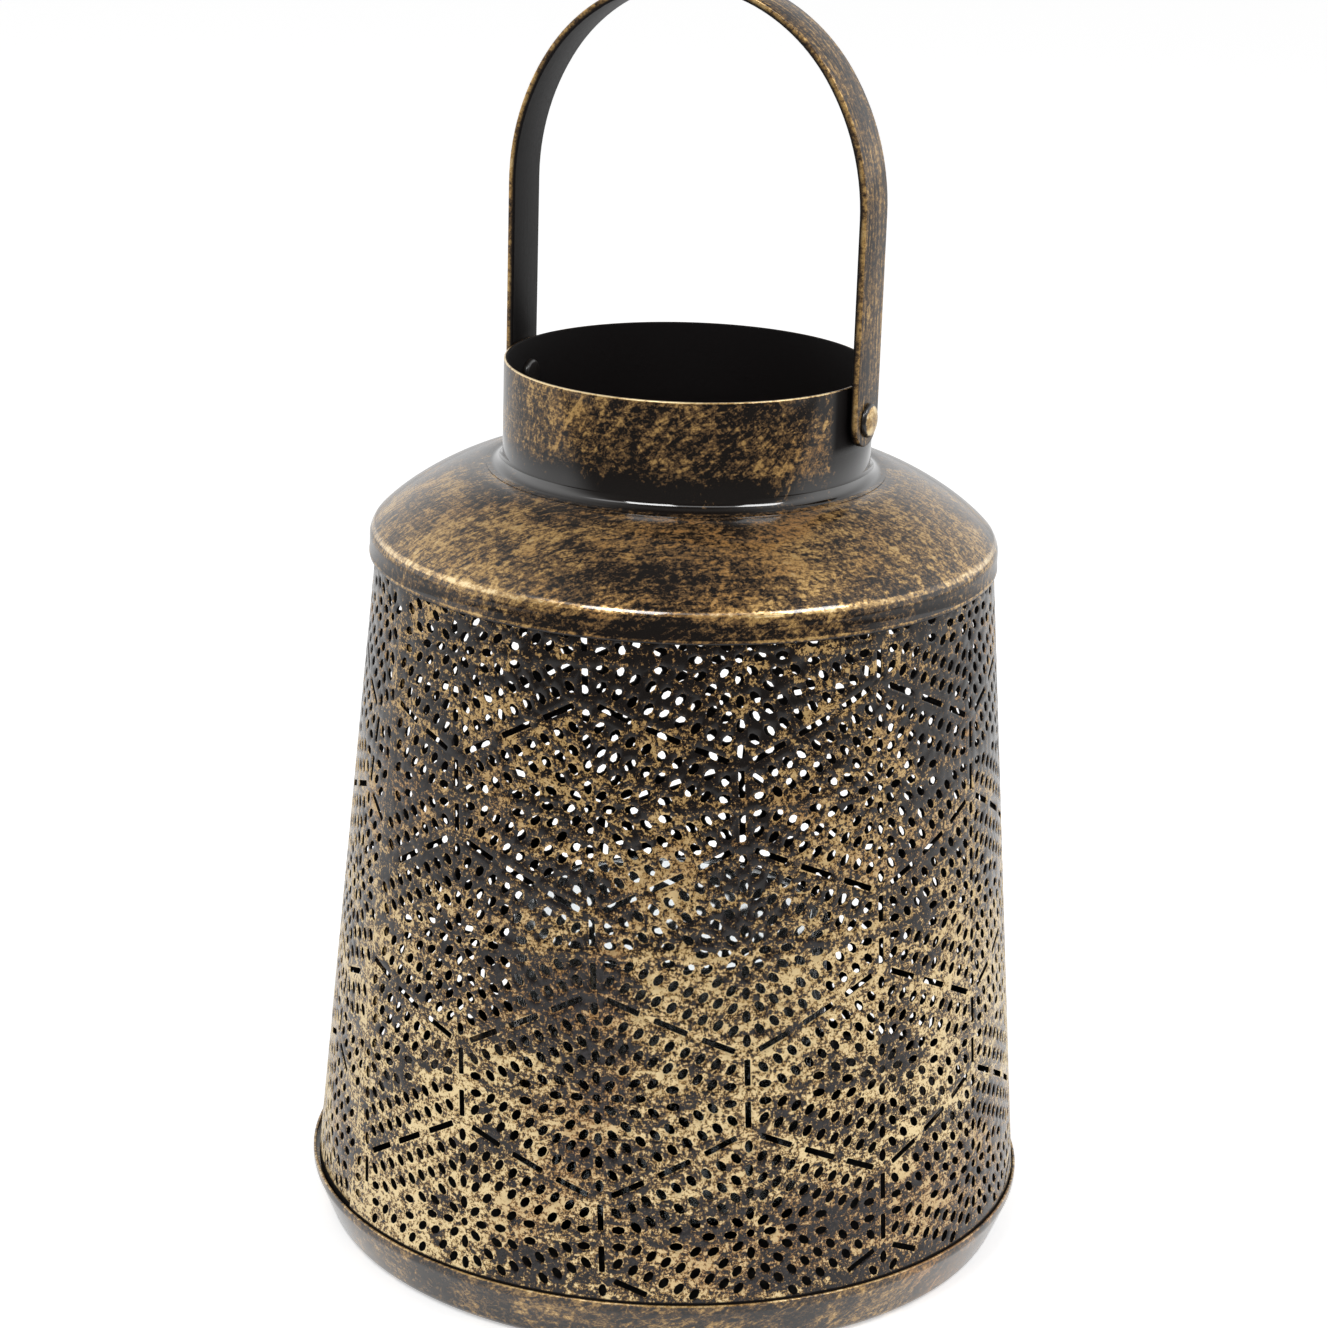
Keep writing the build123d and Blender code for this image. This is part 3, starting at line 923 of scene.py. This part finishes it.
class LANTERN_OT_pan(bpy.types.Operator):
    """Make the base pan, a flared dish with an upright lip"""

    bl_idname = "lantern.make_pan"
    bl_label = "Base Pan"

    def execute(self, context):
        sizes = context.scene.lantern.pan
        seat_z = sizes.height - sizes.lip_height
        inner_foot_r = sizes.foot_r - sizes.wall
        outline = [
            (0, 0, 0),
            (sizes.foot_r, 0, sizes.foot_round),
            (sizes.lip_r, seat_z, LIP_FOOT_ROUND),
            (sizes.lip_r, sizes.height, LIP_ROUND),
            (sizes.lip_r - sizes.lip_wall, sizes.height, LIP_ROUND),
            (sizes.lip_r - sizes.lip_wall, seat_z, 0),
            (sizes.lip_r - sizes.wall * 1.08, seat_z, 0),
            (inner_foot_r, sizes.wall, sizes.foot_round),
            (0, sizes.wall, 0),
        ]
        tones = context.scene.lantern.colours
        material = spun_tin_finish(tones, "pan_lacquer", sizes, pan_rub)
        add_piece(context, "pan_dish", turned(outline), material, "lantern", "pan_tin", "base_pan")
        return {"FINISHED"}


class LANTERN_OT_sheets(bpy.types.Operator):
    """Make the two punched half sheets of the body, lapped at both seams"""

    bl_idname = "lantern.make_sheets"
    bl_label = "Punched Sheets"

    def execute(self, context):
        sizes = context.scene.lantern.sheets
        material = punched_tin_finish(context.scene.lantern.colours, sizes)
        front_azimuth = sizes.seam_azimuth + pi / 2
        front = PunchedSheet(sizes, front_azimuth, 0.0, 0.0)
        rear = PunchedSheet(sizes, front_azimuth + pi, sizes.sheet + sizes.lap_gap, sizes.lap_width)
        for name, sheet, node in (
            ("front_sheet", front, "body_panel_front"),
            ("rear_sheet", rear, "body_panel_rear"),
        ):
            add_piece(context, name, sheet.build(), material, "lantern", "punched_tin", node)
        return {"FINISHED"}


class LANTERN_OT_shoulder(bpy.types.Operator):
    """Make the spun shoulder: skirt with a rolled edge, ridge, dome and seat"""

    bl_idname = "lantern.make_shoulder"
    bl_label = "Shoulder"

    def execute(self, context):
        sizes = context.scene.lantern.shoulder
        wall = sizes.wall
        skirt_r = sizes.skirt_r - sizes.bead
        chord = Vector((sizes.seat_r - skirt_r, sizes.top_z - sizes.ridge_z))
        outwards = Vector((chord.y, -chord.x)).normalized()
        crown = Vector((skirt_r, sizes.ridge_z)) + chord / 2 + outwards * 2 * sizes.bulge
        sweep = (chord / 2).length * DOME_SHARE
        bead_z = sizes.skirt_z + sizes.bead_height
        outline = [
            (skirt_r - wall, sizes.skirt_z, SKIRT_EDGE_ROUND),
            (sizes.skirt_r, sizes.skirt_z, BEAD_LOW_ROUND),
            (sizes.skirt_r, bead_z, BEAD_HIGH_ROUND),
            (skirt_r, bead_z + BEAD_STEP, 0),
            (skirt_r, sizes.ridge_z, sizes.ridge_round),
            (crown.x, crown.y, sweep),
            (sizes.seat_r, sizes.top_z, SEAT_ROUND),
            (sizes.bore_r, sizes.top_z, 0),
            (sizes.bore_r, sizes.top_z - wall, 0),
            (sizes.seat_r - wall * 0.2, sizes.top_z - wall, 0),
            (crown.x - outwards.x * wall, crown.y - outwards.y * wall, sweep * 0.95),
            (skirt_r - wall, sizes.ridge_z - wall * 0.4, 0),
        ]
        tones = context.scene.lantern.colours
        material = spun_tin_finish(tones, "shoulder_patina", sizes, shoulder_rub)
        dome = turned(outline)
        mark_underside(dome)
        add_piece(context, "spun_shoulder", dome, material, "lantern", "shoulder_tin", "shoulder")
        return {"FINISHED"}


class LANTERN_OT_neck(bpy.types.Operator):
    """Make the neck collar: band with a rounded, turned-out foot"""

    bl_idname = "lantern.make_neck"
    bl_label = "Neck Collar"

    def execute(self, context):
        sizes = context.scene.lantern.neck
        foot_top = sizes.foot_z + sizes.foot_edge
        bore_r = sizes.band_r - sizes.wall
        outline = [
            (bore_r, sizes.foot_z, 0),
            (sizes.foot_r, sizes.foot_z, 0),
            (sizes.foot_r, foot_top, 0),
            (sizes.band_r, foot_top, sizes.foot_round),
            (sizes.band_r, sizes.rim_z, RIM_ROUND),
            (bore_r, sizes.rim_z, RIM_ROUND),
        ]
        tones = context.scene.lantern.colours
        material = spun_tin_finish(tones, "neck_patina", sizes, neck_rub)
        add_piece(context, "neck_band", turned(outline), material, "lantern", "neck_tin", "neck_collar")
        return {"FINISHED"}


class LANTERN_OT_handle(bpy.types.Operator):
    """Make the strap handle: two legs with round ends, joined by a three-centred arch"""

    bl_idname = "lantern.make_handle"
    bl_label = "Strap Handle"

    def execute(self, context):
        sizes = context.scene.lantern.handle
        strap = bmesh.new()
        outside = strap.verts.layers.float.new("outside")
        half = sizes.width / 2
        spring_z = PIVOT_Z + sizes.leg
        low_z = PIVOT_Z - half
        corners = [(-half, low_z), (half, low_z), (half, spring_z), (-half, spring_z)]
        strap.faces.new([strap.verts.new((sizes.out_x, y, z)) for y, z in corners])
        low = [vert for vert in strap.verts if vert.co.z < PIVOT_Z]
        rounded(strap, low, "VERTICES", half * STRAP_END_SHARE, STRAP_END_STEPS)
        for vert in strap.verts:
            vert[outside] = 1.0
        grown = bmesh.ops.extrude_face_region(strap, geom=strap.faces[:])["geom"]
        inner = [item for item in grown if isinstance(item, bmesh.types.BMVert)]
        bmesh.ops.translate(strap, verts=inner, vec=(-sizes.thick, 0, 0))
        for vert in inner:
            vert[outside] = 0.0
        bmesh.ops.recalc_face_normals(strap, faces=strap.faces[:])
        rim = []
        for edge in strap.edges:
            first, second = edge.verts
            level = abs(first.co.x - second.co.x) < MERGE_GAP
            at_top = min(first.co.z, second.co.z) > spring_z - MERGE_GAP
            if level and not at_top:
                rim.append(edge)
        rounded(strap, rim, "EDGES", sizes.edge_round, STRAP_EDGE_STEPS)
        cap = [face for face in strap.faces if face.calc_center_median().z > spring_z - MERGE_GAP]
        bmesh.ops.delete(strap, geom=cap, context="FACES")
        in_x = sizes.out_x - sizes.thick
        crown_r = in_x - sizes.ease
        rise = in_x + sizes.stretch - crown_r
        haunch_r = (in_x**2 + rise**2 - crown_r**2) / (2 * sizes.ease)
        haunch_turn = atan2(rise, haunch_r - in_x)
        sweep = [edge for edge in strap.edges if edge.is_boundary]
        arcs = (
            ((in_x - haunch_r, 0, spring_z), haunch_turn, HAUNCH_STEPS),
            ((0, 0, spring_z + rise), pi / 2 - haunch_turn, CROWN_STEPS),
        )
        for centre, turn, steps in arcs:
            ends = {vert for edge in sweep for vert in edge.verts}
            swept = bmesh.ops.spin(
                strap, geom=[*ends, *sweep], cent=centre, axis=(0, -1, 0), angle=turn, steps=steps
            )
            sweep = [item for item in swept["geom_last"] if isinstance(item, bmesh.types.BMEdge)]
        bmesh.ops.mirror(strap, geom=whole(strap), axis="X", merge_dist=MIDDLE_GAP)
        sealed(strap)
        material = strap_finish(context.scene.lantern.colours, sizes)
        add_piece(context, "strap_handle", strap, material, "bail", "strap_iron", "bail_strap")
        return {"FINISHED"}


class LANTERN_OT_rivets(bpy.types.Operator):
    """Make the two rivets that the handle swings on"""

    bl_idname = "lantern.make_rivets"
    bl_label = "Rivets"

    def execute(self, context):
        sizes = context.scene.lantern.rivets
        seat_x = sizes.head_x - sizes.head_height
        tail_end = sizes.tail_x - sizes.tail_height
        outline = [
            (0, tail_end, 0),
            (sizes.tail_r, tail_end, TAIL_ROUND),
            (sizes.tail_r, sizes.tail_x, 0),
            (sizes.shank_r, sizes.tail_x, 0),
            (sizes.shank_r, seat_x, 0),
            (sizes.head_r, seat_x, HEAD_SEAT_ROUND),
            (sizes.head_r, sizes.head_x - sizes.dome_height, HEAD_SIDE_ROUND),
            (sizes.head_r * HEAD_FLAT_SHARE, sizes.head_x, HEAD_CROWN_ROUND),
            (0, sizes.head_x, 0),
        ]
        rivets = turned(outline, RIVET_STEPS)
        lie = Matrix.Translation((0, 0, PIVOT_Z)) @ Matrix.Rotation(pi / 2, 4, "Y")
        bmesh.ops.transform(rivets, verts=rivets.verts[:], matrix=lie)
        bmesh.ops.mirror(rivets, geom=whole(rivets), axis="X", merge_dist=0)
        bmesh.ops.recalc_face_normals(rivets, faces=rivets.faces[:])
        material = rivet_finish(context.scene.lantern.colours, sizes)
        add_piece(context, "handle_rivets", rivets, material, "lantern", "rivet_brass", "bail_rivets")
        return {"FINISHED"}


class LANTERN_OT_cup(bpy.types.Operator):
    """Make the glass cup that holds the candle"""

    bl_idname = "lantern.make_cup"
    bl_label = "Glass Cup"

    def execute(self, context):
        sizes = context.scene.lantern.cup
        inner_r = sizes.radius - sizes.wall
        outline = [
            (0, sizes.foot_z, 0),
            (sizes.radius, sizes.foot_z, CUP_FOOT_ROUND),
            (sizes.radius, sizes.rim_z, CUP_RIM_ROUND),
            (inner_r, sizes.rim_z, CUP_RIM_ROUND),
            (inner_r, sizes.foot_z + sizes.base, CUP_FLOOR_ROUND),
            (0, sizes.foot_z + sizes.base, 0),
        ]
        material = glass_finish(context.scene.lantern.colours, sizes)
        cup = turned(outline, CUP_STEPS)
        add_piece(context, "glass_cup", cup, material, "cup", "cup_glass", "candle_cup")
        return {"FINISHED"}


class LANTERN_OT_stage(bpy.types.Operator):
    """Make the floor, the soft lights, the white surround and the camera"""

    bl_idname = "lantern.make_stage"
    bl_label = "Stage"

    def execute(self, context):
        settings = context.scene.lantern.stage
        self.add_floor(context, settings)
        self.add_surround(context, settings)
        self.add_lamps(context, settings)
        self.add_camera(context, settings)
        context.scene.view_settings.view_transform = "Standard"
        return {"FINISHED"}

    def add_floor(self, context, settings):
        """White floor, which a gloss sees fade to the dim end of the room before the lantern."""
        material, start = new_finish("floor_white")
        place = Place(start)
        paint = start.node("ShaderNodeBsdfDiffuse", None, {"Color": FLOOR_PAINT})
        camera, glossy, through = self.rays(start)
        glow = camera.most(through) * SEEN_GLOW + glossy * GLOSS_GLOW
        lift = start.node("ShaderNodeEmission", None, {"Color": WHITE, "Strength": glow})
        lit = start.node("ShaderNodeAddShader", None, {0: paint, 1: lift})
        dim = start.node("ShaderNodeEmission", None, {"Color": WHITE, "Strength": settings.dim})
        far = self.forwards(place, settings).rise(0.25, 0.9)
        seen = start.node("ShaderNodeMixShader", None, {0: glossy * far, 1: lit, 2: dim})
        start.node("ShaderNodeOutputMaterial", None, {"Surface": seen})
        disc = bmesh.new()
        bmesh.ops.create_circle(disc, cap_ends=True, segments=FLOOR_STEPS, radius=settings.floor_r)
        add_object(context, "floor", disc, material)

    def forwards(self, place, settings):
        """How far a place lies towards the camera's side."""
        return place.x * sin(settings.azimuth) - place.y * cos(settings.azimuth)

    def rays(self, start):
        """1 for a ray from the camera, from a gloss, and through glass."""
        names = ("Is Camera Ray", "Is Glossy Ray", "Is Transmission Ray")
        return [start.node("ShaderNodeLightPath", output=name) for name in names]

    def add_surround(self, context, settings):
        """White surround, which a gloss sees dim in front and overhead, with a bright strip in front."""
        world = bpy.data.worlds.new("white_surround")
        world.use_nodes = True
        world.node_tree.nodes.clear()
        start = Wire(world.node_tree)
        way = Place(start, "Generated")
        front = self.forwards(way, settings)
        aside = abs(way.x * cos(settings.azimuth) + way.y * sin(settings.azimuth))
        dim_front = 1 - front.rise(0.0, 0.6) * (1 - settings.dim)
        dim_top = 1 - way.z.rise(0.3, 0.7) * aside.fall(0.2, 0.7) * 0.8
        sides = aside.rise(0.5, 0.9) * 0.7
        strip = way.z.rise(0.70, 0.74) * way.z.fall(0.80, 0.84) * front.rise(0.0, 0.3)
        camera, glossy, through = self.rays(start)
        white = camera.most(through)
        gloss = glossy * (dim_front * (dim_top + sides) + strip * STRIP_LEVEL)
        level = white + gloss + (1 - white.most(glossy)) * ROOM_FILL
        air = start.node("ShaderNodeBackground", None, {"Color": WHITE, "Strength": level})
        start.node("ShaderNodeOutputWorld", None, {"Surface": air})
        context.scene.world = world

    def add_lamps(self, context, settings):
        """Soft lights over the camera's shoulders."""
        turn = Matrix.Rotation(settings.azimuth, 4, "Z")
        for name, place, width, depth, watts in SOFTBOXES:
            lamp = bpy.data.lights.new(name, "AREA")
            lamp.shape = "RECTANGLE"
            lamp.size = width
            lamp.size_y = depth
            lamp.energy = watts
            light = bpy.data.objects.new(name, lamp)
            light.location = turn @ Vector(place)
            light.rotation_euler = (LIT_MIDDLE - light.location).to_track_quat("-Z", "Y").to_euler()
            context.scene.collection.objects.link(light)

    def add_camera(self, context, settings):
        """Camera where the photograph was taken from."""
        lens = bpy.data.cameras.new("photo_camera")
        lens.sensor_width = settings.sensor
        lens.lens = settings.lens
        camera = bpy.data.objects.new("photo_camera", lens)
        turn = Matrix.Rotation(settings.azimuth, 4, "Z")
        tilt = Matrix.Rotation(pi / 2 - settings.pitch, 4, "X")
        tilt = tilt @ Matrix.Rotation(settings.roll, 4, "Z")
        place = Matrix.Translation((settings.side, -settings.reach, settings.height))
        camera.matrix_world = turn @ place @ tilt
        context.scene.collection.objects.link(camera)
        context.scene.camera = camera


OPERATORS = (
    LANTERN_OT_pan,
    LANTERN_OT_sheets,
    LANTERN_OT_shoulder,
    LANTERN_OT_neck,
    LANTERN_OT_handle,
    LANTERN_OT_rivets,
    LANTERN_OT_cup,
    LANTERN_OT_stage,
)


class LANTERN_PT_sidebar(bpy.types.Panel):
    """Lists the lantern's pieces, one button each"""

    bl_idname = "LANTERN_PT_sidebar"
    bl_label = "Punched Tin Lantern"
    bl_space_type = "VIEW_3D"
    bl_region_type = "UI"
    bl_category = "Lantern"

    def draw(self, context):
        for operator in OPERATORS:
            self.layout.operator(operator.bl_idname)
        for group in LanternSettings.__annotations__:
            held = getattr(context.scene.lantern, group)
            box = self.layout.box()
            box.label(text=group.title())
            for name in type(held).__annotations__:
                box.prop(held, name)


CLASSES = (
    PanSizes,
    SheetSizes,
    ShoulderSizes,
    NeckSizes,
    HandleSizes,
    RivetSizes,
    CupSizes,
    FinishColours,
    StageSettings,
    LanternSettings,
    *OPERATORS,
    LANTERN_PT_sidebar,
)


def register():
    for item in CLASSES:
        bpy.utils.register_class(item)
    bpy.types.Scene.lantern = PointerProperty(type=LanternSettings)


def unregister():
    del bpy.types.Scene.lantern
    for item in reversed(CLASSES):
        bpy.utils.unregister_class(item)


def main():
    register()
    bpy.ops.lantern.make_pan()
    bpy.ops.lantern.make_sheets()
    bpy.ops.lantern.make_shoulder()
    bpy.ops.lantern.make_neck()
    bpy.ops.lantern.make_handle()
    bpy.ops.lantern.make_rivets()
    bpy.ops.lantern.make_cup()
    bpy.ops.lantern.make_stage()


if __name__ == "__main__":
    main()
